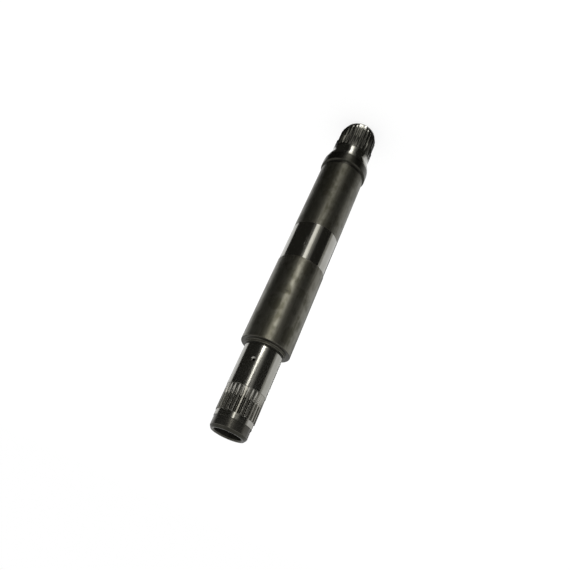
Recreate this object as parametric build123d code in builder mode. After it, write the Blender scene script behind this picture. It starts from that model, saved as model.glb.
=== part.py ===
"""A turned steel shaft with a splined length near each end, standing on its large-spline end."""

import os
from math import acos, cos, pi, radians, sin, tan

from build123d import *

# Splines: 30 degree flat-root involute teeth
module = 1.25
pressure_angle = 30.0
large_teeth = 30
small_teeth = 27
hob_radius = 26.0
small_tip_setback = 0.2

# Diameters, from the foot up
foot_face_diameter = 32.8
neck_diameter = 40.2
collar_diameter = 48.0
plain_body_diameter = 45.2
seal_band_diameter = 45.0
main_body_diameter = 45.8
spigot_diameter = 37.6
journal_diameter = 35.0
blank_diameter = 33.5
nose_diameter = 32.6

# Lengths along the axis, from the foot up
foot_chamfer_length = 8.0
large_spline_length = 22.0
neck_length = 14.0
flare_length = 20.0
collar_width = 7.0
collar_groove_width = 3.5
plain_body_length = 80.8
seal_band_length = 40.6
main_body_length = 87.4
spigot_length = 2.2
journal_groove_width = 1.6
journal_length = 37.7
small_spline_length = 22.8
blank_length = 5.2
nose_length = 10.2

# Edges and undercuts
collar_edge_radius = 1.6
collar_groove_depth = 0.5
journal_groove_depth = 0.4
neck_chamfer = 0.4
body_chamfer = 0.5
band_chamfer = 0.15
nose_chamfer_length = 2.2
nose_chamfer_width = 1.6

# Bore, oil gallery and oil hole
bore_diameter = 24.4
bore_depth = 32.0
bore_chamfer = 1.0
gallery_diameter = 9.0
gallery_reach = 12.0
oil_hole_diameter = 2.0
oil_hole_countersink = 4.2
oil_hole_setback = 23.5
oil_hole_azimuth = -71.0

# Lathe centre in the foot face
centre_hole_diameter = 5.0
centre_hole_mouth = 10.6
centre_hole_depth = 9.0

# Heights that follow from the lengths
neck_foot = large_spline_length
flare_foot = neck_foot + neck_length
collar_foot = flare_foot + flare_length
collar_top = collar_foot + collar_width
plain_body_foot = collar_top + collar_groove_width
band_foot = plain_body_foot + plain_body_length
main_body_foot = band_foot + seal_band_length
main_body_top = main_body_foot + main_body_length
spigot_top = main_body_top + spigot_length
journal_foot = spigot_top + journal_groove_width
journal_top = journal_foot + journal_length
small_spline_top = journal_top + small_spline_length
nose_foot = small_spline_top + blank_length
nose_top = nose_foot + nose_length
oil_hole_height = journal_top - oil_hole_setback


def tip_radius(teeth):
    """Full outer radius of the teeth."""
    return module * (teeth + 1) / 2


def root_radius(teeth):
    """Radius of the flat between two teeth."""
    return module * (teeth - 1.5) / 2


def gap_half_angle(teeth, radius):
    """Half the angle that the gap between two teeth spans at a radius, in radians."""
    base_radius = module * teeth / 2 * cos(radians(pressure_angle))
    flank_angle = acos(base_radius / radius)
    involute_at_pitch = tan(radians(pressure_angle)) - radians(pressure_angle)
    involute_at_radius = tan(flank_angle) - flank_angle
    return pi / (2 * teeth) - involute_at_pitch + involute_at_radius


def flank_point(teeth, radius, side):
    """Point of a gap's flank at a radius, on one side of the gap that faces along +X."""
    angle = side * gap_half_angle(teeth, radius)
    return (radius * cos(angle), radius * sin(angle))


def tooth_gap(teeth, cut_start, cut_end, run_out_towards):
    """Cutter for one gap: an involute slot whose floor rises along the hob's arc at one end.

    The floor is at full depth from cut_start to cut_end, then climbs out of the steel.
    """
    root = root_radius(teeth)
    pitch = module * teeth / 2
    clear = tip_radius(teeth) + 2
    run_out_length = (hob_radius ** 2 - (hob_radius - (clear - root)) ** 2) ** 0.5
    run_out_end = cut_end + run_out_towards * run_out_length
    low = min(cut_start, run_out_end)
    with BuildPart() as gap:
        with BuildSketch(Plane.XY.offset(low)):
            with BuildLine():
                ThreePointArc(
                    flank_point(teeth, root, 1),
                    flank_point(teeth, pitch, 1),
                    flank_point(teeth, clear, 1),
                )
                Line(flank_point(teeth, clear, 1), flank_point(teeth, clear, -1))
                ThreePointArc(
                    flank_point(teeth, clear, -1),
                    flank_point(teeth, pitch, -1),
                    flank_point(teeth, root, -1),
                )
                Line(flank_point(teeth, root, -1), flank_point(teeth, root, 1))
            make_face()
        extrude(amount=abs(run_out_end - cut_start))
        with BuildSketch(Plane.XZ):
            with BuildLine():
                Polyline((clear, run_out_end), (clear, cut_start), (root, cut_start), (root, cut_end))
                RadiusArc((root, cut_end), (clear, run_out_end), run_out_towards * hob_radius)
            make_face()
        extrude(amount=module * 2, both=True, mode=Mode.INTERSECT)
    return gap.part


# Where each hob reaches full depth: its run-out ends at the surface that it climbs to
def run_out_to(radius, teeth):
    """Length that the hob's arc needs to climb from the gap's floor to a radius."""
    return (hob_radius ** 2 - (hob_radius - (radius - root_radius(teeth))) ** 2) ** 0.5


large_gap_end = flare_foot - run_out_to(neck_diameter / 2, large_teeth)
small_gap_end = journal_top + run_out_to(journal_diameter / 2, small_teeth)

with BuildPart() as splined_shaft:
    with BuildSketch(Plane.XZ):
        with BuildLine():
            Polyline(
                (0, 0),
                (foot_face_diameter / 2, 0),
                (tip_radius(large_teeth), foot_chamfer_length),
                (tip_radius(large_teeth), neck_foot),
                (neck_diameter / 2, neck_foot + neck_chamfer),
                (neck_diameter / 2, flare_foot),
            )
            flare_middle = ((neck_diameter + collar_diameter) / 4, (flare_foot + collar_foot) / 2)
            hollow = TangentArc((neck_diameter / 2, flare_foot), flare_middle, tangent=(0, 1))
            TangentArc(flare_middle, (collar_diameter / 2, collar_foot), tangent=hollow % 1)
            Line((collar_diameter / 2, collar_foot), (collar_diameter / 2, collar_top - collar_edge_radius))
            RadiusArc(
                (collar_diameter / 2, collar_top - collar_edge_radius),
                (collar_diameter / 2 - collar_edge_radius, collar_top),
                -collar_edge_radius,
            )
            Polyline(
                (collar_diameter / 2 - collar_edge_radius, collar_top),
                (plain_body_diameter / 2 - collar_groove_depth, collar_top),
                (plain_body_diameter / 2 - collar_groove_depth, plain_body_foot - collar_groove_depth),
                (plain_body_diameter / 2, plain_body_foot),
                (plain_body_diameter / 2, band_foot),
                (seal_band_diameter / 2, band_foot + band_chamfer),
                (seal_band_diameter / 2, main_body_foot - band_chamfer),
                (main_body_diameter / 2, main_body_foot),
                (main_body_diameter / 2, main_body_top - body_chamfer),
                (main_body_diameter / 2 - body_chamfer, main_body_top),
                (spigot_diameter / 2, main_body_top),
                (spigot_diameter / 2, spigot_top),
                (journal_diameter / 2 - journal_groove_depth, spigot_top),
                (journal_diameter / 2 - journal_groove_depth, journal_foot - journal_groove_depth),
                (journal_diameter / 2, journal_foot),
                (journal_diameter / 2, journal_top - small_tip_setback),
                (tip_radius(small_teeth) - small_tip_setback, journal_top),
                (tip_radius(small_teeth) - small_tip_setback, small_spline_top),
                (blank_diameter / 2, small_spline_top),
                (blank_diameter / 2, nose_foot),
                (nose_diameter / 2, nose_foot),
                (nose_diameter / 2, nose_top - nose_chamfer_length),
                (nose_diameter / 2 - nose_chamfer_width, nose_top),
                (0, nose_top),
                (0, 0),
            )
        make_face()
    revolve(axis=Axis.Z)

    # Teeth
    large_gap = tooth_gap(large_teeth, -1.0, large_gap_end, 1)
    with PolarLocations(0, large_teeth):
        add(large_gap, mode=Mode.SUBTRACT)
    small_gap = tooth_gap(small_teeth, small_spline_top + 0.4, small_gap_end, -1)
    with PolarLocations(0, small_teeth):
        add(small_gap, mode=Mode.SUBTRACT)

    # Bore, with a drilled gallery that carries oil from its floor to the journal
    with BuildSketch(Plane.XZ):
        with BuildLine():
            bore_floor = nose_top - bore_depth
            gallery_floor = oil_hole_height - gallery_reach
            Polyline(
                (0, nose_top),
                (bore_diameter / 2 + bore_chamfer, nose_top),
                (bore_diameter / 2, nose_top - bore_chamfer),
                (bore_diameter / 2, bore_floor),
                (gallery_diameter / 2, bore_floor - (bore_diameter - gallery_diameter) / 4),
                (gallery_diameter / 2, gallery_floor),
                (0, gallery_floor - gallery_diameter / 4),
                (0, nose_top),
            )
        make_face()
    revolve(axis=Axis.Z, mode=Mode.SUBTRACT)

    # Countersunk oil hole in the journal
    journal_wall = Plane(
        origin=(
            journal_diameter / 2 * cos(radians(oil_hole_azimuth)),
            journal_diameter / 2 * sin(radians(oil_hole_azimuth)),
            oil_hole_height,
        ),
        z_dir=(cos(radians(oil_hole_azimuth)), sin(radians(oil_hole_azimuth)), 0),
    )
    with Locations(journal_wall):
        CounterSinkHole(oil_hole_diameter / 2, oil_hole_countersink / 2, depth=journal_diameter / 2)

    # Lathe centre, so that the shaft turns true between centres
    with BuildSketch(Plane.XZ):
        with BuildLine():
            Polyline(
                (0, 0),
                (centre_hole_mouth / 2, 0),
                (centre_hole_diameter / 2, (centre_hole_mouth - centre_hole_diameter) / 2 / tan(radians(30))),
                (centre_hole_diameter / 2, centre_hole_depth),
                (0, centre_hole_depth + centre_hole_diameter / 4),
                (0, 0),
            )
        make_face()
    revolve(axis=Axis.Z, mode=Mode.SUBTRACT)

splined_shaft.part.label = "splined_shaft"

os.makedirs("parts", exist_ok=True)
export_step(splined_shaft.part, "parts/splined_shaft.step")
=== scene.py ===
"""Looks of the splined shaft: one turned, hobbed and ground piece of steel on a pale studio floor.

Sizes are in millimetres and heights are measured from the foot of the shaft, which is its
large-spline end. The mesh is made in metres in the frame of the CAD part.
"""

import logging
import math
from dataclasses import dataclass, field, replace
from enum import Enum
from typing import Any

import bpy
import numpy as np
from mathutils import Matrix, Vector

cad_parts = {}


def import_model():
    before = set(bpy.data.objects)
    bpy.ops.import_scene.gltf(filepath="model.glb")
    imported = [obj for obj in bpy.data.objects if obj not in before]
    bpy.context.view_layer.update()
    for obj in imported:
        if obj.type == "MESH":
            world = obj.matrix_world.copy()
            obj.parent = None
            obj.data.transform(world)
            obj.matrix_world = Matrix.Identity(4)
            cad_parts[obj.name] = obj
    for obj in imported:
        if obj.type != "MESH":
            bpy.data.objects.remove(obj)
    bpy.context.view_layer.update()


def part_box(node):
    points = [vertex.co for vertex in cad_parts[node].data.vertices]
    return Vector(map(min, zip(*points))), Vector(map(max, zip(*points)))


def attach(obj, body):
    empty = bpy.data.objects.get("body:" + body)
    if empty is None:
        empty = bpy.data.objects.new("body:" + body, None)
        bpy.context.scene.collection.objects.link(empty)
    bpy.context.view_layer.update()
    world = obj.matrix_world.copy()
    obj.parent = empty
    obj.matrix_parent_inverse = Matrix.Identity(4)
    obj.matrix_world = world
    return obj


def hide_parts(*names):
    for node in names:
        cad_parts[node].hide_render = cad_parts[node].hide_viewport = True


MM = 0.001
LOG = logging.getLogger("splined_shaft")
Array = np.ndarray
Colour = tuple[float, float, float]


# ---------------------------------------------------------------- shader maths


class Tone:
    """A number that varies over a surface: one output socket, with plain arithmetic on it."""

    def __init__(self, tree: "MaterialTree", socket: bpy.types.NodeSocket) -> None:
        """Wraps a socket of the tree."""
        self.tree = tree
        self.socket = socket

    def _math(self, operation: str, *values: Any, clamp: bool = False) -> "Tone":
        """Adds one Math node.

        Args:
            operation: the Math node's operation.
            values: its inputs in order, numbers or tones.
            clamp: whether the result is held between 0 and 1.

        Returns:
            The node's result.
        """
        settings = {"operation": operation, "use_clamp": clamp}
        return self.tree.tone("ShaderNodeMath", settings, dict(enumerate(values)))

    def __add__(self, other: Any) -> "Tone":
        """Sum."""
        return self._math("ADD", self, other)

    def __radd__(self, other: Any) -> "Tone":
        """Sum with a number on the left."""
        return self._math("ADD", other, self)

    def __sub__(self, other: Any) -> "Tone":
        """Difference."""
        return self._math("SUBTRACT", self, other)

    def __rsub__(self, other: Any) -> "Tone":
        """Difference with a number on the left."""
        return self._math("SUBTRACT", other, self)

    def __mul__(self, other: Any) -> "Tone":
        """Product."""
        return self._math("MULTIPLY", self, other)

    def __rmul__(self, other: Any) -> "Tone":
        """Product with a number on the left."""
        return self._math("MULTIPLY", other, self)

    def __truediv__(self, other: Any) -> "Tone":
        """Quotient."""
        return self._math("DIVIDE", self, other)

    def __pow__(self, other: Any) -> "Tone":
        """Power."""
        return self._math("POWER", self, other)

    def clamped(self) -> "Tone":
        """The tone held between 0 and 1."""
        return self._math("ADD", self, 0.0, clamp=True)

    def larger(self, other: Any) -> "Tone":
        """The larger of two."""
        return self._math("MAXIMUM", self, other)

    def angle_from(self, other: "Tone") -> "Tone":
        """Angle of the point whose y is this tone and whose x is the other, in radians."""
        return self._math("ARCTAN2", self, other)

    def step(self, low: float, high: float) -> "Tone":
        """Smooth step from 0 at low to 1 at high; low may be the larger."""
        settings = {"interpolation_type": "SMOOTHSTEP"}
        sockets = {"Value": self, "From Min": low, "From Max": high, "To Min": 0.0, "To Max": 1.0}
        return self.tree.tone("ShaderNodeMapRange", settings, sockets)


class MaterialTree:
    """A new material and the nodes that are added to it."""

    def __init__(self, name: str) -> None:
        """Makes the material with its surface shader and its coordinates."""
        self.material = bpy.data.materials.new(name)
        self.material.use_nodes = True
        self.nodes = self.material.node_tree.nodes
        self.links = self.material.node_tree.links
        self.nodes.clear()
        self.output = self.nodes.new("ShaderNodeOutputMaterial")
        self.place = self.node("ShaderNodeTexCoord", {}, {}).outputs["Object"]
        parts = self.node("ShaderNodeSeparateXYZ", {}, {"Vector": self.place})
        self.x, self.y, self.z = (Tone(self, socket) for socket in parts.outputs)

    def node(self, kind: str, settings: dict[str, Any], sockets: dict[Any, Any]) -> bpy.types.Node:
        """Adds a node.

        Args:
            kind: the node's type.
            settings: its own settings, set first.
            sockets: values, tones or sockets for its inputs, by name or index.

        Returns:
            The new node.
        """
        node = self.nodes.new(kind)
        for name, value in settings.items():
            setattr(node, name, value)
        for name, value in sockets.items():
            if isinstance(value, Tone):
                value = value.socket
            if isinstance(value, bpy.types.NodeSocket):
                self.links.new(value, node.inputs[name])
            else:
                node.inputs[name].default_value = value
        return node

    def tone(self, kind: str, settings: dict[str, Any], sockets: dict[Any, Any], output: Any = 0) -> Tone:
        """Adds a node and returns one of its outputs as a tone."""
        return Tone(self, self.node(kind, settings, sockets).outputs[output])

    def noise(self, across: float, along: float, detail: float = 3.0, seed: float = 0.0) -> Tone:
        """Noise over the shaft's surface, from 0 to 1.

        Args:
            across: size of its patches round the shaft, in mm.
            along: size of its patches along the shaft, in mm.
            detail: how many finer layers it has.
            seed: how far along the pattern is slid, in patches.

        Returns:
            The noise.
        """
        scale = (1 / (across * MM), 1 / (across * MM), 1 / (along * MM))
        mapping = self.node(
            "ShaderNodeMapping",
            {"vector_type": "POINT"},
            {"Vector": self.place, "Location": (seed, 1.7 * seed, 2.3 * seed), "Scale": scale},
        )
        sockets = {"Vector": mapping.outputs[0], "Scale": 1.0, "Detail": detail}
        return self.tone("ShaderNodeTexNoise", {"noise_dimensions": "3D"}, sockets)

    def blend(self, share: Tone, first: Any, second: Any) -> bpy.types.NodeSocket:
        """Colour that goes from the first to the second as share goes from 0 to 1."""
        settings = {"data_type": "RGBA", "blend_type": "MIX", "clamp_factor": True}
        colours = [(*c, 1.0) if isinstance(c, tuple) else c for c in (first, second)]
        return self.node("ShaderNodeMix", settings, {0: share, 6: colours[0], 7: colours[1]}).outputs[2]

    def spot(self, azimuth: float, height: float, radius: float, size: tuple[float, float]) -> Tone:
        """Soft-edged oval mark at one place of a round wall.

        Args:
            azimuth: where it lies round the shaft, in degrees.
            height: where it lies along the shaft, in mm.
            radius: the wall's radius, in mm.
            size: half its width round the shaft and half its length along it, in mm.

        Returns:
            1 at its middle and 0 outside it.
        """
        round_share = (self.y.angle_from(self.x) - math.radians(azimuth)) * (radius / size[0])
        along_share = (self.z - height * MM) / (size[1] * MM)
        return (1 - (round_share * round_share + along_share * along_share)).clamped()


# ---------------------------------------------------------------- finishes


class Cut(Enum):
    """How a surface was last cut, which sets the direction of its marks."""

    TURNED = "rings left by a lathe tool"
    GROUND = "fine rings left by a wheel"
    HOBBED = "short marks left between teeth"


# Size of each cut's marks round the shaft and along it, in mm
MARK_SIZES = {Cut.TURNED: (60.0, 0.5), Cut.GROUND: (40.0, 0.16), Cut.HOBBED: (1.0, 16.0)}


@dataclass(frozen=True)
class SteelFinish:
    """One finish of the steel."""

    name: str
    cut: Cut
    colour: Colour
    stain: Colour
    roughness: float
    roughness_spread: float
    mark_depth: float
    stain_share: float = 0.5
    wear_share: float = 0.45
    wear_polish: float = 0.1
    wear_gain: float = 1.6
    least_roughness: float = 0.03

    def build(self, marks: tuple["Mark", ...] = ()) -> bpy.types.Material:
        """Makes the finish's material.

        Args:
            marks: single marks that lie on surfaces of this finish.

        Returns:
            The material.
        """
        tree = MaterialTree(self.name)
        rings = tree.noise(*MARK_SIZES[self.cut])
        cloud = tree.noise(11.0, 13.0, 5.0, seed=3.0)
        smear = tree.noise(3.2, 26.0, 3.0, seed=7.0)
        speck = tree.noise(0.9, 0.9, 2.0, seed=11.0)
        stain = (cloud.step(0.44, 0.62) * 0.75 + smear.step(0.46, 0.66) * 0.45) * self.stain_share
        stain = (stain + speck.step(0.66, 0.74) * 0.35).clamped()
        colour = tree.blend(stain, self.colour, self.stain)
        edge = tree.tone("ShaderNodeAttribute", {"attribute_name": "edge"}, {}, "Fac")
        wear = (edge * smear.step(0.3, 0.65) * self.wear_share).clamped()
        worn = tuple(min(1.0, channel * self.wear_gain) for channel in self.colour)
        colour = tree.blend(wear, colour, worn)
        spread = self.roughness_spread
        rough = self.roughness + (cloud - 0.5) * spread + (rings - 0.5) * (spread * 0.5)
        rough = rough + (smear - 0.5) * (spread * 0.6) - wear * self.wear_polish
        relief = rings
        for mark in marks:
            share = mark.share(tree)
            colour = tree.blend(share, colour, mark.colour)
            rough = rough + share * mark.roughness
            relief = relief - share * mark.dent
        bump = tree.node(
            "ShaderNodeBump",
            {},
            {"Strength": 1.0, "Distance": self.mark_depth * MM, "Height": relief},
        )
        shader = tree.node(
            "ShaderNodeBsdfPrincipled",
            {},
            {
                "Base Color": colour,
                "Metallic": 1.0,
                "Roughness": rough.larger(self.least_roughness),
                "Normal": bump.outputs[0],
            },
        )
        tree.links.new(shader.outputs[0], tree.output.inputs[0])
        return tree.material


@dataclass(frozen=True)
class Mark:
    """One scratch, scuff or speck on a round wall."""

    azimuth: float
    height: float
    radius: float
    size: tuple[float, float]
    colour: Colour
    roughness: float = 0.1
    dent: float = 1.0
    broken: float = 0.0

    def share(self, tree: MaterialTree) -> Tone:
        """Where the mark lies: 1 on it and 0 off it."""
        share = tree.spot(self.azimuth, self.height, self.radius, self.size).step(0.0, 0.6)
        if self.broken:
            share = share * tree.noise(0.5, 4.0, 2.0, seed=self.height).step(self.broken, self.broken + 0.25)
        return share


# ---------------------------------------------------------------- the shaft


@dataclass
class Spline:
    """One run of involute teeth, with flat roots and a run-out where the hob leaves the steel."""

    teeth: int
    floor_columns: int
    deep_from: float
    deep_to: float
    run_out_side: int
    module: float = 1.25
    pressure_angle: float = 30.0
    hob_radius: float = 26.0
    tip_break: float = 0.14
    root_fillet: float = 0.32
    blunt_end: float = 0.35

    @property
    def root(self) -> float:
        """Radius of the flat between two teeth."""
        return self.module * (self.teeth - 1.5) / 2

    @property
    def pitch(self) -> float:
        """Angle from one tooth to the next."""
        return 2 * math.pi / self.teeth

    @property
    def columns(self) -> int:
        """Mesh columns of one tooth and its gap."""
        return 2 * (8 + self.floor_columns)

    def half_width(self, radius: Array) -> Array:
        """Half the gap's width at a radius: an involute flank, which unwinds from the base circle."""
        slope = math.radians(self.pressure_angle)
        base = self.module * self.teeth / 2 * math.cos(slope)
        unwound = np.arccos(np.clip(base / radius, -1.0, 1.0))
        half_angle = self.pitch / 4 - (math.tan(slope) - slope) + (np.tan(unwound) - unwound)
        return radius * np.sin(half_angle)

    def lift(self, height: Array) -> Array:
        """How far the hob stands off its full depth: 0 in the deep part, then a circle of its own radius.

        At the other end the gap closes over a short blunt ramp.
        """
        past_deep = np.maximum(0.0, (height - self.deep_to) * self.run_out_side)
        reach = np.minimum(past_deep, self.hob_radius * 0.9)
        arc = self.hob_radius - np.sqrt(self.hob_radius**2 - reach**2)
        before = np.maximum(0.0, (self.deep_from - height) * self.run_out_side)
        return arc + before / self.blunt_end

    def section(self, outer: Array, height: Array) -> tuple[Array, Array, Array, Array]:
        """Cross-sections of one tooth and its gap, one for each height.

        From the gap's middle to the tooth's middle the outline is the floor, a root fillet, the
        flank, a broken tip edge and the land. Each corner is the parabola that touches both sides.

        Args:
            outer: radius of the blank at each height.
            height: the heights.

        Returns:
            Radii and angles from the gap's middle, both of shape (heights, columns), then a mask of
            the columns on cut steel, and 1 for the columns on a broken tip edge.
        """
        outer = outer[:, None]
        lift = self.lift(height)[:, None]
        floor = self.root + lift
        depth = np.maximum(outer - floor, 1e-4)
        tip = np.minimum(self.tip_break, depth * 0.35)
        fillet = np.minimum(self.root_fillet, depth * 0.5)

        def gap_angle(radius: Array) -> Array:
            """Half angle of the lifted gap at a radius."""
            return np.arcsin(self.half_width(radius - lift) / radius)

        low, high = floor + fillet, outer - tip
        corner_low, corner_high = gap_angle(floor), gap_angle(outer)
        floor_end = np.maximum(corner_low - fillet / floor, corner_low * 0.25)
        land_start = corner_high + tip / outer
        floor_shares = np.linspace(0.0, 1.0, self.floor_columns + 1)[None, :-1]
        thirds = np.linspace(0.0, 1.0, 3)[None, :]
        flank = low + (high - low) * thirds
        angles = [
            floor_end * floor_shares,
            floor_end,
            (floor_end + 2 * corner_low + gap_angle(low)) / 4,
            gap_angle(flank),
            (gap_angle(high) + 2 * corner_high + land_start) / 4,
            land_start + (self.pitch / 2 - land_start) * thirds,
        ]
        radii = [
            floor + 0 * floor_shares,
            floor,
            (3 * floor + low) / 4,
            flank,
            (high + 3 * outer) / 4,
            outer + 0 * thirds,
        ]
        half_angles, half_radii = np.hstack(angles), np.hstack(radii)
        place = np.abs(np.arange(-half_angles.shape[1] + 1, half_angles.shape[1] - 1))
        side = np.sign(np.arange(-half_angles.shape[1] + 1, half_angles.shape[1] - 1))
        tip_column = self.floor_columns + 5
        cut, tip_edge = place <= tip_column, 1.0 * (place == tip_column)
        return half_radii[:, place], half_angles[:, place] * side, cut, tip_edge


@dataclass
class OilPort:
    """A countersunk hole drilled square to the axis, from the journal into the oil gallery."""

    azimuth: float = -71.0
    height: float = 293.3
    radius: float = 1.0
    mouth: float = 2.1
    columns: int = 20
    rows: int = 12
    gallery_columns: int = 26
    gallery_rows: int = 6
    gallery_block: float = 0.72
    margin_rows: int = 3

    def window(self, half_size: float, rows: int, reach: float) -> Array:
        """Heights of grid rows across a block of cells, with a margin above and below it."""
        margin = np.linspace(half_size, reach, self.margin_rows + 1)[1:]
        block = np.linspace(-half_size, half_size, rows + 1)
        return self.height + np.concatenate([-margin[::-1], block, margin])

    def bend(
        self, angles: Array, heights: Array, wall: float, block: tuple[slice, slice], hole: float, fade: float
    ) -> None:
        """Bends the grid lines round the hole, so that the edge of a block of cells becomes a circle.

        A point's share is the larger of its two distances from the hole, in half sizes of the block.
        Where the share is 1 the point moves along its own direction to the hole's radius, and from
        the fade share outwards it stays where it is.

        Args:
            angles: angles of the grid, changed in place.
            heights: heights of the grid, changed in place.
            wall: radius of the wall.
            block: the block's rows and columns.
            hole: radius of the circle.
            fade: the share at which the bending ends.
        """
        rows, columns = block
        across = np.angle(np.exp(1j * (angles - math.radians(self.azimuth)))) * wall
        along = heights - self.height
        wide = np.abs(across[block]).max()
        tall = np.abs(along[block]).max()
        share = np.maximum(np.abs(across) / wide, np.abs(along) / tall)
        ease = np.clip((share - 1) / (fade - 1), 0, 1)
        ease = ease * ease * (3 - 2 * ease)
        away = np.maximum(np.hypot(across, along), 1e-9)
        scale = ease + (1 - ease) * share * hole / away
        near = np.zeros(share.shape, bool)
        near[rows.start - self.margin_rows : rows.stop + self.margin_rows] = True
        angles += np.where(near, across * (scale - 1) / wall, 0.0)
        heights += np.where(near, along * (scale - 1), 0.0)


class Zone(Enum):
    """Stretches of the outside, from the foot up, and the other surfaces.

    The value is the place of the zone's finish in the piece's list of materials.
    """

    FOOT = 0
    LARGE_TEETH = 1
    FLARE = 2
    COLLAR = 3
    PLAIN_BODY = 4
    SEAL_BAND = 5
    MAIN_BODY = 6
    SPIGOT = 7
    JOURNAL = 8
    SMALL_TEETH = 9
    BLANK = 10
    NOSE = 11
    GAP = 12
    BORE = 13
    FACE = 14
    RUN_OUT = 15


@dataclass
class Surface:
    """Points and faces of a closed mesh, in millimetres, with what the finishes need to know."""

    points: Array
    normals: Array
    quads: Array
    triangles: Array
    finish: Array
    edge: Array


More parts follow.
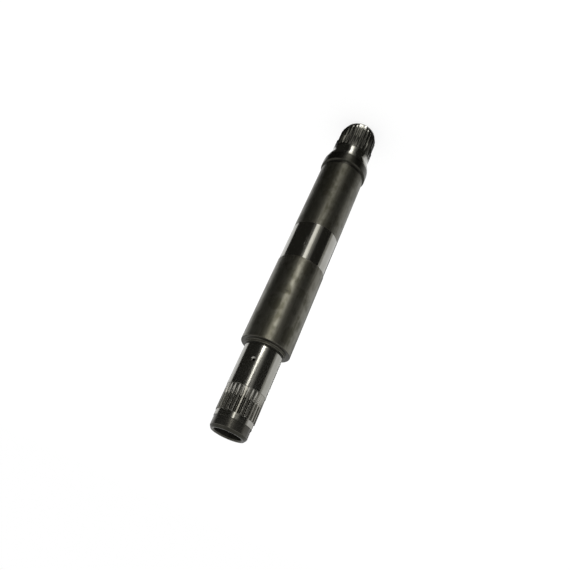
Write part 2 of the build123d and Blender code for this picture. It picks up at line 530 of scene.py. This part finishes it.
@dataclass
class ShaftBody:
    """The whole shaft as one closed surface of revolution, with its teeth and its oil port."""

    foot_face: float = 32.8
    large_tips: float = 38.75
    neck: float = 40.2
    collar: float = 48.0
    plain_body: float = 45.2
    seal_band: float = 45.0
    main_body: float = 45.8
    spigot: float = 37.6
    journal: float = 35.0
    small_tips: float = 34.6
    blank: float = 33.5
    nose: float = 32.6
    bore: float = 24.4
    gallery: float = 9.0

    chamfer_top: float = 8.0
    neck_foot: float = 22.0
    flare_foot: float = 36.0
    collar_foot: float = 56.0
    collar_top: float = 63.0
    body_foot: float = 66.5
    band_foot: float = 147.3
    band_top: float = 187.9
    body_top: float = 275.3
    spigot_top: float = 277.5
    journal_foot: float = 279.1
    journal_top: float = 316.8
    spline_top: float = 339.6
    nose_foot: float = 344.8
    nose_top: float = 355.0
    bore_floor: float = 323.0
    gallery_floor: float = 281.3

    centre_hole: float = 5.0
    centre_mouth: float = 10.6
    centre_depth: float = 9.0
    centre_slope: float = 60.0
    collar_rounding: float = 1.6
    # Top of the painted shade on the large teeth and neck, in mm
    teeth_painted_shade_top: float = 37.0
    flare_finish_top: float = 52.5
    # Widths of the bands of painted shade at the nose's crown and at the rings of the seal band and nose, in
    # mm
    crown_painted_shade: float = 2.0
    ring_painted_shade: float = 0.2
    groove_depth: float = 0.5
    nose_chamfer: float = 2.2

    edge_break: float = 0.22
    columns: int = 540
    large: Spline = field(default_factory=lambda: Spline(30, 1, 0.0, 25.33, 1))
    small: Spline = field(default_factory=lambda: Spline(27, 2, 339.6, 325.68, -1))
    port: OilPort = field(default_factory=OilPort)

    @property
    def centre_tip(self) -> float:
        """Height of the lathe centre's drilled tip."""
        return self.centre_depth + self.centre_hole / 4

    @property
    def gallery_tip(self) -> float:
        """Height of the oil gallery's drilled tip."""
        return self.gallery_floor - self.gallery / 4

    def flare(self) -> Array:
        """Rows of the flare: a hollow arc and a round one that meet half way, each tangent to its wall."""
        rise = (self.collar - self.neck) / 4
        run = (self.collar_foot - self.flare_foot) / 2
        radius = (rise**2 + run**2) / (2 * rise)
        along = np.linspace(0.0, run, 7)
        bulge = radius - np.sqrt(radius**2 - along**2)
        lower = np.column_stack([self.neck / 2 + bulge, self.flare_foot + along])
        upper = np.column_stack([self.collar / 2 - bulge, self.collar_foot - along])[::-1]
        rows = np.vstack([lower, upper[1:]])
        return np.column_stack([rows, np.zeros(len(rows))])

    def outline(self) -> tuple[Array, Array, int]:
        """Half outline of the blank, from the foot's centre round to the gallery's end.

        Returns:
            Rows of (radius, height), then 1 for the rows in the middle of a rounded corner, and the
            number of rows on the outside.
        """
        soft = self.edge_break

        def level(diameter: float, height: float, rounding: float = 0.0) -> Array:
            """One corner, by its diameter."""
            return np.array([[diameter / 2, height, rounding]])

        def wall(diameter: float, heights: Array) -> Array:
            """Rows on a straight wall, so that cuts across it have something to bend."""
            return np.column_stack([np.full(len(heights), diameter / 2), heights, np.zeros(len(heights))])

        cone = (self.centre_mouth - self.centre_hole) / 2
        rise = (self.large.root - self.foot_face / 2) / (self.large_tips / 2 - self.foot_face / 2)
        ramp_share = np.linspace(rise, 1.0, 5)[:-1]
        ramp = np.column_stack(
            [
                (self.foot_face + (self.large_tips - self.foot_face) * ramp_share) / 2,
                self.chamfer_top * ramp_share,
                0 * ramp_share,
            ]
        )
        port = self.port
        large_climb = self.large.deep_to + (self.flare_foot - self.large.deep_to) * np.linspace(0, 1, 10)[:-1]
        small_climb = self.journal_top + (self.small.deep_to - self.journal_top) * np.linspace(0, 1, 12)[1:]
        arc = np.radians(np.linspace(0.0, 90.0, 6))
        collar_edge = np.column_stack(
            [
                self.collar / 2 - self.collar_rounding * (1 - np.cos(arc)),
                self.collar_top - self.collar_rounding * (1 - np.sin(arc)),
                0 * arc,
            ]
        )
        outside = [
            level(self.centre_hole, self.centre_depth),
            level(self.centre_hole, cone * math.tan(math.radians(self.centre_slope))),
            level(self.centre_mouth, 0.0, 0.2),
            level(self.foot_face, 0.0, 0.3),
            ramp,
            level(self.large_tips, self.chamfer_top, 0.4),
            level(self.large_tips, self.neck_foot, 0.1),
            level(self.neck, self.neck_foot + 0.4, 0.15),
            wall(self.neck, large_climb),
            self.flare(),
            collar_edge,
            level(self.plain_body - 2 * self.groove_depth, self.collar_top, 0.2),
            level(self.plain_body - 2 * self.groove_depth, self.body_foot - self.groove_depth, 0.1),
            level(self.plain_body, self.body_foot, 0.15),
            level(self.plain_body, self.band_foot, 0.03),
            level(self.seal_band, self.band_foot + 0.15, 0.03),
            level(self.seal_band, self.band_top - 0.15, 0.03),
            level(self.main_body, self.band_top, 0.05),
            level(self.main_body, self.body_top - 0.5, 0.25),
            level(self.main_body - 1.0, self.body_top, soft),
            level(self.spigot, self.body_top, 0.3),
            level(self.spigot, self.spigot_top, soft),
            level(self.journal - 0.8, self.spigot_top, 0.2),
            level(self.journal - 0.8, self.journal_foot - 0.4, 0.1),
            level(self.journal, self.journal_foot, 0.15),
            wall(self.journal, port.window(port.mouth, port.rows, 2.2 * port.mouth)),
            level(self.journal, self.journal_top - 0.2, 0.05),
            level(self.small_tips, self.journal_top, 0.05),
            wall(self.small_tips, small_climb),
            level(self.small_tips, self.spline_top - 0.15, 0.12),
            level(self.small_tips - 0.3, self.spline_top, 0.05),
            level(self.blank, self.spline_top, 0.05),
            wall(self.blank, self.spline_top + np.array([0.15, 0.3])),
            level(self.blank, self.nose_foot, 0.15),
            level(self.nose, self.nose_foot, 0.1),
            level(self.nose, self.nose_top - self.nose_chamfer, 0.35),
            level(self.nose - 3.2, self.nose_top, soft),
        ]
        inside = [
            level(self.bore + 2.0, self.nose_top, soft),
            level(self.bore, self.nose_top - 1.0, 0.2),
            level(self.bore, self.bore_floor, 0.3),
            level(self.gallery, self.bore_floor - 3.85, 0.2),
            wall(self.gallery, port.window(port.gallery_block, port.gallery_rows, 3.0)[::-1]),
            level(self.gallery, self.gallery_floor, 0.2),
        ]
        corners = np.vstack(outside + inside)
        rows, edge = rounded(corners, np.array([0.0, self.centre_tip]), np.array([0.0, self.gallery_tip]))
        crown = np.flatnonzero(rows[:, 1] >= self.nose_top - 1e-6)
        return rows, edge, int(crown[len(crown) // 2])

    def build(self) -> Surface:
        """Spreads the outline round the axis, cuts the teeth into it and drills the oil port.

        Returns:
            The shaft's surface.
        """
        rows, row_edge, crown = self.outline()
        radius, height = rows.T
        start = -(self.large.pitch + self.small.pitch) / 4
        even = start + np.arange(self.columns) * (2 * math.pi / self.columns)
        radii = np.repeat(radius[:, None], self.columns, axis=1)
        heights = np.repeat(height[:, None], self.columns, axis=1)
        angles = np.repeat(even[None, :], len(rows), axis=0)
        edge = np.repeat(row_edge[:, None], self.columns, axis=1)
        cut = np.zeros(radii.shape, bool)
        for spline, low, high in (
            (self.large, -1.0, self.flare_foot - 0.01),
            (self.small, self.journal_top + 0.02, self.nose_foot),
        ):
            deep = (height > low) & (height < high) & (radius > spline.root + spline.lift(height) + 0.004)
            part_radii, part_angles, part_cut, part_edge = spline.section(radius[deep], height[deep])
            turns = np.repeat(np.arange(spline.teeth) * spline.pitch, spline.columns)
            radii[deep] = np.tile(part_radii, (1, spline.teeth))
            angles[deep] = np.tile(part_angles, (1, spline.teeth)) + turns
            cut[deep] = np.tile(part_cut, spline.teeth)
            above_floor = radii[deep] > spline.root + 0.3
            edge[deep] = np.maximum(edge[deep], np.tile(part_edge, spline.teeth)) * above_floor
        toothed = cut.any(axis=1)

        port = self.port
        centre = int(np.argmin(np.abs(np.exp(1j * even) - np.exp(1j * math.radians(port.azimuth)))))
        outer_row = int(np.argmin(np.abs(height - port.height) + 1e3 * (np.arange(len(rows)) > crown)))
        inner_row = int(np.argmin(np.abs(height - port.height) + 1e3 * (np.arange(len(rows)) < crown)))
        outer_block = block_of(outer_row, centre, port.rows, port.columns)
        inner_block = block_of(inner_row, centre, port.gallery_rows, port.gallery_columns)
        port.bend(angles, heights, self.journal / 2, outer_block, port.mouth, 2.2)
        port.bend(angles, heights, self.gallery / 2, inner_block, port.radius, 3.0 / port.gallery_block)

        points = np.stack([radii * np.cos(angles), radii * np.sin(angles), heights], axis=2).reshape(-1, 3)
        quads = grid_quads(len(rows), self.columns)
        row_of, column_of = np.divmod(quads[:, 0], self.columns)
        solid = np.ones(len(quads), bool)
        for block in (outer_block, inner_block):
            row_slice, column_slice = block
            solid &= ~(
                (row_of >= row_slice.start)
                & (row_of < row_slice.stop - 1)
                & (column_of >= column_slice.start)
                & (column_of < column_slice.stop - 1)
            )
        outer_loop = loop_of(outer_block, self.columns, False)
        inner_loop = loop_of(inner_block, self.columns, True)
        tube = self.tube(points[outer_loop], points[inner_loop])
        tube_points = len(points) + np.arange(tube.shape[0] * tube.shape[1]).reshape(tube.shape[:2])
        rings = np.vstack([outer_loop, tube_points, inner_loop])
        points = np.vstack([points, tube.reshape(-1, 3)])
        ahead = np.roll(rings, -1, axis=1)
        tube_quads = np.stack([rings[:-1], ahead[:-1], ahead[1:], rings[1:]], axis=2).reshape(-1, 4)

        poles = len(points) + np.arange(2)
        points = np.vstack([points, [0, 0, self.centre_tip], [0, 0, self.gallery_tip]])
        first = np.arange(self.columns)
        last = first + (len(rows) - 1) * self.columns
        triangles = np.vstack(
            [
                np.column_stack([np.full(self.columns, poles[0]), np.roll(first, -1), first]),
                np.column_stack([last, np.roll(last, -1), np.full(self.columns, poles[1])]),
            ]
        )
        finish = self.finish_of(rows, crown, cut, quads)[solid]
        tube_finish = np.full(len(tube_quads), Zone.JOURNAL.value)
        finish = np.concatenate([finish, tube_finish, np.full(len(triangles), Zone.BORE.value)])
        quads = np.vstack([quads[solid], tube_quads])
        normals = area_normals(points, [quads, triangles])
        near_teeth = toothed | np.roll(toothed, 1) | np.roll(toothed, -1)
        turned = self.turned_normals(rows, angles)
        smooth = np.repeat(~near_teeth, self.columns)
        normals[: len(smooth)][smooth] = turned.reshape(-1, 3)[smooth]
        edges = np.concatenate([edge.ravel(), np.zeros(len(points) - edge.size)])
        return Surface(points, normals, quads, triangles, finish, edges)

    def piece(self, name: str, materials: list[bpy.types.Material]) -> bpy.types.Object:
        """Puts the shaft into the scene, in metres.

        Args:
            name: the piece's name.
            materials: one material for each zone, in the zones' order.

        Returns:
            The new object.
        """
        surface = self.build()
        mesh = bpy.data.meshes.new(name)
        corners = np.concatenate([surface.quads.ravel(), surface.triangles.ravel()])
        sizes = np.concatenate([np.full(len(surface.quads), 4), np.full(len(surface.triangles), 3)])
        starts = np.concatenate([[0], np.cumsum(sizes)[:-1]])
        mesh.vertices.add(len(surface.points))
        mesh.vertices.foreach_set("co", (surface.points * MM).astype(np.float32).ravel())
        mesh.loops.add(len(corners))
        mesh.loops.foreach_set("vertex_index", corners.astype(np.int32))
        mesh.polygons.add(len(sizes))
        mesh.polygons.foreach_set("loop_start", starts.astype(np.int32))
        mesh.polygons.foreach_set("material_index", surface.finish.astype(np.int32))
        mesh.update(calc_edges=True)
        worn_edges = mesh.attributes.new("edge", "FLOAT", "POINT")
        worn_edges.data.foreach_set("value", surface.edge.astype(np.float32))
        for material in materials:
            mesh.materials.append(material)
        mesh.polygons.foreach_set("use_smooth", np.ones(len(sizes), bool))
        mesh.normals_split_custom_set_from_vertices(surface.normals)
        piece = bpy.data.objects.new(name, mesh)
        bpy.context.scene.collection.objects.link(piece)
        return piece

    def turned_normals(self, rows: Array, angles: Array) -> Array:
        """Normals of a turned surface: the outline's own normal, carried round the axis.

        The outline's normal at a row is the sum of the normals of its two neighbouring sides, each
        weighted by its length, so that a long wall keeps its own normal up to its rounded edge.
        """
        step = np.diff(rows, axis=0, prepend=rows[:1], append=rows[-1:])
        side = np.column_stack([step[:, 1], -step[:, 0]])
        across = side[:-1] + side[1:]
        across /= np.linalg.norm(across, axis=1, keepdims=True)
        out, up = across[:, :1], across[:, 1:]
        return np.stack([out * np.cos(angles), out * np.sin(angles), up + 0 * angles], axis=2)

    def tube(self, outer: Array, inner: Array) -> Array:
        """Rings of the oil port between its edge on the journal and its edge on the gallery.

        Each ring is a circle round the port's own axis; its points turn gradually from where the
        outer edge has them to where the inner edge has them.
        """
        port = self.port
        azimuth = math.radians(port.azimuth)
        outward = np.array([math.cos(azimuth), math.sin(azimuth), 0.0])
        sideways = np.array([-math.sin(azimuth), math.cos(azimuth), 0.0])
        bearing = [np.unwrap(np.arctan2(e[:, 2] - port.height, e @ sideways)) for e in (outer, inner)]
        wall, well = self.journal / 2, port.mouth - port.radius
        radii = np.array([port.mouth - 0.08, port.radius + 0.1, port.radius, port.radius, port.radius])
        into_steel = [wall - 0.16, wall - well - 0.1, wall - well - 0.25, wall - 3.0]
        depths = np.array([*into_steel, self.gallery / 2 + 0.4])
        turn = ((wall - depths) / (wall - self.gallery / 2))[:, None]
        angle = bearing[0] * (1 - turn) + bearing[1] * turn
        around = np.cos(angle)[..., None] * sideways + np.sin(angle)[..., None] * [0, 0, 1]
        ring = radii[:, None, None] * around
        saddle = np.zeros((len(radii), outer.shape[0], 1))
        saddle[0, :, 0] = (outer @ outward - wall)
        return ring + (depths[:, None, None] + saddle) * outward + np.array([0, 0, port.height])

    def finish_of(self, rows: Array, crown: int, cut: Array, quads: Array) -> Array:
        """Finish of each face of the grid, by its height, its side of the wall and its cut; painted shade
        goes on flat steps, grooves, thin rings, the nose's crown, the small spline's gaps and the hollows.
        """
        row = quads[:, 0] // self.columns
        middle = (rows[row, 1] + rows[row + 1, 1]) / 2
        tops = [
            self.chamfer_top,
            self.teeth_painted_shade_top,
            self.flare_finish_top,
            self.body_foot,
            self.band_foot,
            self.band_top,
            self.body_top - 0.02,
            self.journal_foot,
            self.journal_top,
            self.spline_top,
            self.nose_foot,
        ]
        zone = np.searchsorted(tops, middle)
        rise = rows[row + 1, 1] - rows[row, 1]
        steep = np.abs(rows[row + 1, 0] - rows[row, 0]) > 0.5 * np.abs(rise)
        # Painted shade: flat steps above the collar, the spigot's grooves, thin rings at the seal band's and
        # the nose's edges and the nose's crown take the near-black face steel
        step = steep & (middle > self.collar_top - self.collar_rounding)
        grooves = (middle > self.spigot_top) & (middle < self.journal_foot)
        rings = np.array([self.band_foot, self.band_top, self.nose_foot])
        ringed = np.abs(middle[:, None] - rings).min(axis=1) < self.ring_painted_shade
        crown_ring = middle > self.nose_top - self.crown_painted_shade
        zone[step | grooves | ringed | crown_ring] = Zone.FACE.value
        # Painted shade: faces wholly inside the small spline's gaps take the dark gap steel, except in the
        # run-out
        in_gap = cut.ravel()[quads].all(axis=1) & (middle > self.body_top)
        zone[in_gap] = Zone.GAP.value
        zone[in_gap & (middle < self.small.deep_to)] = Zone.RUN_OUT.value
        # Painted shade: the inside of the shaft and the foot's centre hole take the dark bore steel
        in_centre = (rows[row, 0] < self.foot_face / 2 - 1) & (middle < self.centre_tip)
        inside = (row >= crown) | in_centre
        zone[inside] = Zone.BORE.value
        return zone


def rounded(corners: Array, before: Array, after: Array) -> tuple[Array, Array]:
    """Rounds the corners of an outline.

    Each corner becomes three points of the parabola that touches both of its sides at the corner's
    own distance; a distance of 0 keeps the corner as one point.

    Args:
        corners: rows of (radius, height, distance).
        before: the point that the outline comes from.
        after: the point that it goes on to.

    Returns:
        The new points, and 1 for those in the middle of a rounded corner.
    """
    points, reach = corners[:, :2], corners[:, 2:]
    line = np.vstack([before, points, after])
    back, ahead = line[:-2] - points, line[2:] - points
    back /= np.linalg.norm(back, axis=1, keepdims=True)
    ahead /= np.linalg.norm(ahead, axis=1, keepdims=True)
    start, end = points + back * reach, points + ahead * reach
    trio = np.stack([start, (start + 2 * points + end) / 4, end], axis=1).reshape(-1, 2)
    edge = np.tile([0.0, 1.0, 0.0], len(points)) * (np.repeat(reach[:, 0], 3) > 0)
    keep = np.concatenate([[True], np.linalg.norm(np.diff(trio, axis=0), axis=1) > 1e-6])
    return trio[keep], edge[keep]


def block_of(row: int, column: int, rows: int, columns: int) -> tuple[slice, slice]:
    """Rows and columns of the grid points of a block of cells that is centred on one point."""
    across, down = columns // 2, rows // 2
    return (slice(row - down, row + down + 1), slice(column - across, column + across + 1))


def loop_of(block: tuple[slice, slice], count: int, falling: bool) -> Array:
    """Indices of the grid points round a block, counter-clockwise seen from outside the shaft.

    Args:
        block: the block's rows and columns.
        count: columns of the whole grid.
        falling: whether the grid's rows run down the shaft here.

    Returns:
        The indices, from the lowest row's first column.
    """
    rows, columns = (np.arange(part.start, part.stop) for part in block)
    if falling:
        rows = rows[::-1]
    wide, tall = len(columns) - 1, len(rows) - 1
    row = np.concatenate([np.full(wide, rows[0]), rows[:-1], np.full(wide, rows[-1]), rows[:0:-1]])
    last, first = np.full(tall, columns[-1]), np.full(tall, columns[0])
    column = np.concatenate([columns[:-1], last, columns[:0:-1], first])
    return row * count + column


def grid_quads(rows: int, columns: int) -> Array:
    """Faces of a grid whose last column joins its first."""
    low = np.arange((rows - 1) * columns)
    right = low + 1 - columns * ((low + 1) % columns == 0)
    return np.column_stack([low, right, right + columns, low + columns])


def area_normals(points: Array, blocks: list[Array]) -> Array:
    """Normals of the points: the sum of the area vectors of the faces that meet there.

    Args:
        points: the points.
        blocks: arrays of faces, each with its own number of corners.

    Returns:
        Unit normals, one for each point.
    """
    total = np.zeros_like(points)
    for block in blocks:
        corner = points[block]
        area = np.cross(corner[:, 2] - corner[:, 0], corner[:, -1] - corner[:, 1])
        if block.shape[1] == 3:
            area = np.cross(corner[:, 1] - corner[:, 0], corner[:, 2] - corner[:, 0])
        np.add.at(total, block, area[:, None, :])
    return total / np.maximum(np.linalg.norm(total, axis=1, keepdims=True), 1e-12)


# ---------------------------------------------------------------- finishes of this shaft, and darker copies that paint shade

GROUND = SteelFinish(
    "ground_steel", Cut.GROUND, colour=(0.33, 0.325, 0.3), stain=(0.24, 0.235, 0.2),
    roughness=0.15, roughness_spread=0.1, mark_depth=0.0006, stain_share=0.35,
)
SATIN = SteelFinish(
    "turned_steel", Cut.TURNED, colour=(0.155, 0.15, 0.126), stain=(0.074, 0.071, 0.053),
    roughness=0.37, roughness_spread=0.2, mark_depth=0.003, stain_share=1.0,
)
# Painted shade: a near-black copy of the turned steel for the upper flare, the collar and its groove, which
# would otherwise show the bright surroundings
COLLAR = SteelFinish(
    "collar_steel", Cut.TURNED, colour=(0.068, 0.066, 0.057), stain=(0.042, 0.041, 0.033),
    roughness=0.34, roughness_spread=0.12, mark_depth=0.002, stain_share=0.8,
)
# Painted shade: a dark copy of the teeth steel for the large spline and its neck, so that the foot end reads
# dark
DARK_TEETH = SteelFinish(
    "dark_teeth_steel", Cut.HOBBED, colour=(0.1, 0.098, 0.086), stain=(0.06, 0.058, 0.05),
    roughness=0.36, roughness_spread=0.05, mark_depth=0.0002, stain_share=0.5,
)
TEETH = SteelFinish(
    "teeth_steel", Cut.HOBBED, colour=(0.3, 0.292, 0.262), stain=(0.15, 0.145, 0.12),
    roughness=0.26, roughness_spread=0.06, mark_depth=0.0003, stain_share=0.5,
)
# Painted shade: a near-black copy of the turned steel for flat steps, grooves, thin rings and the nose's
# crown, so that they read dark
FACE = SteelFinish(
    "face_steel", Cut.TURNED, colour=(0.042, 0.041, 0.034), stain=(0.026, 0.025, 0.02),
    roughness=0.42, roughness_spread=0.1, mark_depth=0.002, stain_share=0.6,
)
RUN_OUT = SteelFinish(
    "run_out_steel", Cut.HOBBED, colour=(0.36, 0.352, 0.32), stain=(0.24, 0.232, 0.205),
    roughness=0.26, roughness_spread=0.04, mark_depth=0.0002, stain_share=0.4,
)
# Painted shade: the small spline's gaps take a steel far darker than its teeth, so that the spaces between
# teeth read dark
GAP = SteelFinish(
    "gap_steel", Cut.HOBBED, colour=(0.085, 0.082, 0.071), stain=(0.05, 0.048, 0.04),
    roughness=0.36, roughness_spread=0.04, mark_depth=0.0002, stain_share=0.5,
)
NOSE = SteelFinish(
    "nose_steel", Cut.TURNED, colour=(0.085, 0.082, 0.072), stain=(0.05, 0.048, 0.041),
    roughness=0.26, roughness_spread=0.1, mark_depth=0.003, stain_share=0.8,
)
# Painted shade: a dark copy of the turned steel for the bore, the oil gallery and the foot's centre hole, so
# that these hollows read dark
BORE = SteelFinish(
    "bore_steel", Cut.TURNED, colour=(0.07, 0.068, 0.058), stain=(0.03, 0.029, 0.024),
    roughness=0.4, roughness_spread=0.12, mark_depth=0.004, stain_share=0.8,
)

SCRATCHES = (
    Mark(-81.6, 225.5, 22.9, (2.9, 0.42), (0.05, 0.048, 0.04), 0.15, 6.0),
    Mark(-84.5, 226.6, 22.9, (1.6, 0.35), (0.06, 0.058, 0.05), 0.15, 4.0),
)
SPECK = (Mark(-110.4, 306.4, 17.5, (0.55, 0.5), (0.03, 0.03, 0.026), 0.3, 4.0),)
SCUFFS = (Mark(-74.0, 171.5, 22.5, (1.9, 8.0), (0.4, 0.39, 0.36), 0.16, 0.0, 0.45),)


# ---------------------------------------------------------------- studio


@dataclass(frozen=True)
class Card:
    """A matt sheet on the studio floor that only shows in the bright steel: a painted reflection that camera,
    diffuse and shadow rays pass through.

    It is a sector of a ring round the shaft, so that it looks equally wide from every height.
    """

    name: str
    start: float
    end: float
    level: float
    colour: Colour
    inner: float = 0.0172
    outer: float = 3.0

    def shader(self, tree: MaterialTree) -> bpy.types.Node:
        """Adds the card's surface: matt, in its own colour."""
        return tree.node("ShaderNodeBsdfDiffuse", {}, {"Color": (*self.colour, 1.0)})

    def build(self) -> bpy.types.Object:
        """Makes the card.

        Returns:
            The card, which only shows in glossy surfaces.
        """
        turns = np.radians(np.linspace(self.start, self.end, 25))
        edges = np.array([self.inner, self.outer])[:, None]
        levels = np.full((2, len(turns)), self.level)
        flat = np.stack([edges * np.cos(turns), edges * np.sin(turns), levels], axis=2)
        low = np.arange(len(turns) - 1)
        faces = np.column_stack([low, low + len(turns), low + len(turns) + 1, low + 1])
        mesh = bpy.data.meshes.new(self.name)
        mesh.from_pydata(flat.reshape(-1, 3).tolist(), [], faces.tolist())
        tree = MaterialTree(self.name)
        tree.links.new(self.shader(tree).outputs[0], tree.output.inputs[0])
        mesh.materials.append(tree.material)
        card = bpy.data.objects.new(self.name, mesh)
        bpy.context.scene.collection.objects.link(card)
        card.visible_camera = card.visible_diffuse = card.visible_shadow = card.visible_transmission = False
        return card


@dataclass(frozen=True)
class LightCard(Card):
    """A card that glows only in the steel's reflections, a painted highlight that lights nothing else; its
    light changes smoothly from the shaft outwards.
    """

    near_strength: float = 1.0
    far_strength: float = 1.0

    def shader(self, tree: MaterialTree) -> bpy.types.Node:
        """Adds the card's surface: its own light, seen only as a painted highlight in the steel."""
        away = (tree.x * tree.x + tree.y * tree.y) ** 0.5
        strength = self.near_strength + away.step(0.3, 0.66) * (self.far_strength - self.near_strength)
        return tree.node("ShaderNodeEmission", {}, {"Color": (*self.colour, 1.0), "Strength": strength})


@dataclass
class Studio:
    """Floor, surrounding light, reflection cards and camera."""

    floor_radius: float = 6.0
    floor_colour: Colour = (0.3, 0.3, 0.3)
    lift_to_white: float = 0.74
    camera_at: tuple[float, float, float] = (0.0, -0.45002, 0.4492)
    camera_turn: float = -0.9211
    camera_tilt_down: float = 28.054
    camera_roll: float = -155.695
    lens: float = 34.848
    sensor: float = 36.0
    # Painted reflections: dark, grey and glowing sectors that only the steel sees, which put dark areas, grey
    # patches and highlight strips into it where the floor is white
    cards: tuple[Card, ...] = (
        Card("dark_reflection_front", -160.0, 26.5, 0.0006, (0.028, 0.0275, 0.024)),
        Card("grey_reflection_right", -172.0, -160.0, 0.0006, (0.5, 0.495, 0.465)),
        Card("glow_front", -110.0, -64.0, 0.0009, (0.16, 0.158, 0.147)),
        Card("hem_front", -102.0, -90.0, 0.001, (0.36, 0.356, 0.335)),
        LightCard(
            "skirt_front", -93.0, -86.0, 0.0011, (1.0, 0.99, 0.93),
            outer=0.7, near_strength=1.4, far_strength=3.4,
        ),
        LightCard(
            "strip_front", -87.5, -75.0, 0.0012, (1.0, 0.99, 0.95),
            outer=0.7, near_strength=1.9, far_strength=14.0,
        ),
        LightCard(
            "strip_far", -83.5, -75.0, 0.0012, (1.0, 0.99, 0.95),
            inner=0.7, near_strength=3.2, far_strength=3.2,
        ),
        LightCard(
            "strip_neck", -87.0, -74.0, 0.0013, (1.0, 0.99, 0.95),
            outer=0.046, near_strength=3.6, far_strength=3.6,
        ),
        LightCard(
            "glint_front", -99.0, -96.0, 0.0014, (1.0, 1.0, 0.98),
            inner=0.0164, outer=0.024, near_strength=9.0, far_strength=9.0,
        ),
        Card("dark_reflection_back", 70.0, 125.0, 0.0006, (0.05, 0.049, 0.043)),
        LightCard("strip_back", 92.0, 102.0, 0.0012, (1.0, 0.99, 0.95), near_strength=3.0, far_strength=5.0),
    )

    def floor(self) -> bpy.types.Object:
        """Makes the pale floor, which is white where nothing shades it.

        Camera, glossy and transmitted rays see a little light added, so steel shows the same white.
        """
        turns = np.linspace(0, 2 * math.pi, 97)[:-1]
        ring = np.column_stack([np.cos(turns), np.sin(turns), 0 * turns]) * self.floor_radius
        mesh = bpy.data.meshes.new("floor")
        mesh.from_pydata(ring.tolist(), [], [list(range(len(ring)))])
        tree = MaterialTree("pale_floor")
        matt = tree.node("ShaderNodeBsdfDiffuse", {}, {"Color": (*self.floor_colour, 1.0)})
        path = tree.node("ShaderNodeLightPath", {}, {})
        seen = Tone(tree, path.outputs["Is Camera Ray"]).larger(Tone(tree, path.outputs["Is Glossy Ray"]))
        seen = seen.larger(Tone(tree, path.outputs["Is Transmission Ray"]))
        lift = seen * self.lift_to_white
        glow = tree.node("ShaderNodeEmission", {}, {"Color": (1.0, 1.0, 1.0, 1.0), "Strength": lift})
        both = tree.node("ShaderNodeAddShader", {}, {0: matt.outputs[0], 1: glow.outputs[0]})
        tree.links.new(both.outputs[0], tree.output.inputs[0])
        mesh.materials.append(tree.material)
        floor = bpy.data.objects.new("floor", mesh)
        bpy.context.scene.collection.objects.link(floor)
        return floor

    def world(self) -> None:
        """Lights the scene evenly from a white surrounding."""
        world = bpy.data.worlds.new("white_surrounding")
        world.use_nodes = True
        world.node_tree.nodes["Background"].inputs["Color"].default_value = (1.0, 1.0, 1.0, 1.0)
        world.node_tree.nodes["Background"].inputs["Strength"].default_value = 1.0
        bpy.context.scene.world = world
        bpy.context.scene.view_settings.view_transform = "Standard"

    def camera(self) -> None:
        """Places the camera, which looks down on the shaft and is rolled over."""
        data = bpy.data.cameras.new("camera")
        data.sensor_width = self.sensor
        data.lens = self.lens
        data.clip_start = 0.01
        camera = bpy.data.objects.new("camera", data)
        turn = Matrix.Rotation(math.radians(self.camera_turn), 4, "Z")
        tilt = Matrix.Rotation(math.radians(90.0 - self.camera_tilt_down), 4, "X")
        roll = Matrix.Rotation(math.radians(self.camera_roll), 4, "Z")
        camera.matrix_world = Matrix.Translation(Vector(self.camera_at)) @ turn @ tilt @ roll
        bpy.context.scene.collection.objects.link(camera)
        bpy.context.scene.camera = camera

    def build(self) -> None:
        """Builds the studio."""
        self.world()
        self.floor()
        for card in self.cards:
            card.build()
            LOG.info("card %s", card.name)
        self.camera()


def main() -> None:
    """Loads the frame, dresses the shaft and sets up the studio."""
    logging.basicConfig(level=logging.INFO, format="%(name)s: %(message)s")
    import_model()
    foot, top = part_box("splined_shaft")
    shaft = ShaftBody()
    LOG.info("CAD height %.1f mm, mesh height %.1f mm", (top[2] - foot[2]) / MM, shaft.nose_top)
    ground, satin, teeth, gap = GROUND.build(), SATIN.build(), TEETH.build(), GAP.build()
    main_satin = replace(SATIN, name="main_body_steel").build(SCRATCHES)
    materials = [
        replace(GROUND, name="foot_steel", roughness=0.22).build(),
        DARK_TEETH.build(),
        ground,
        COLLAR.build(),
        # Painted shade: a darker, rougher copy of the turned steel for the plain body, so that it reads
        # dimmer than the main body
        replace(SATIN, name="plain_body_steel", colour=(0.132, 0.128, 0.107), roughness=0.41).build(),
        replace(GROUND, name="seal_band_steel", roughness=0.13).build(SCUFFS),
        main_satin,
        satin,
        replace(GROUND, name="journal_steel", roughness=0.17).build(SPECK),
        teeth,
        ground,
        NOSE.build(),
        gap,
        BORE.build(),
        FACE.build(),
        RUN_OUT.build(),
    ]
    piece = shaft.piece("splined_shaft_steel", materials)
    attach(piece, "root")
    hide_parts("splined_shaft")
    LOG.info("%s: %d faces", piece.name, len(piece.data.polygons))
    Studio().build()


if __name__ == "__main__":
    main()
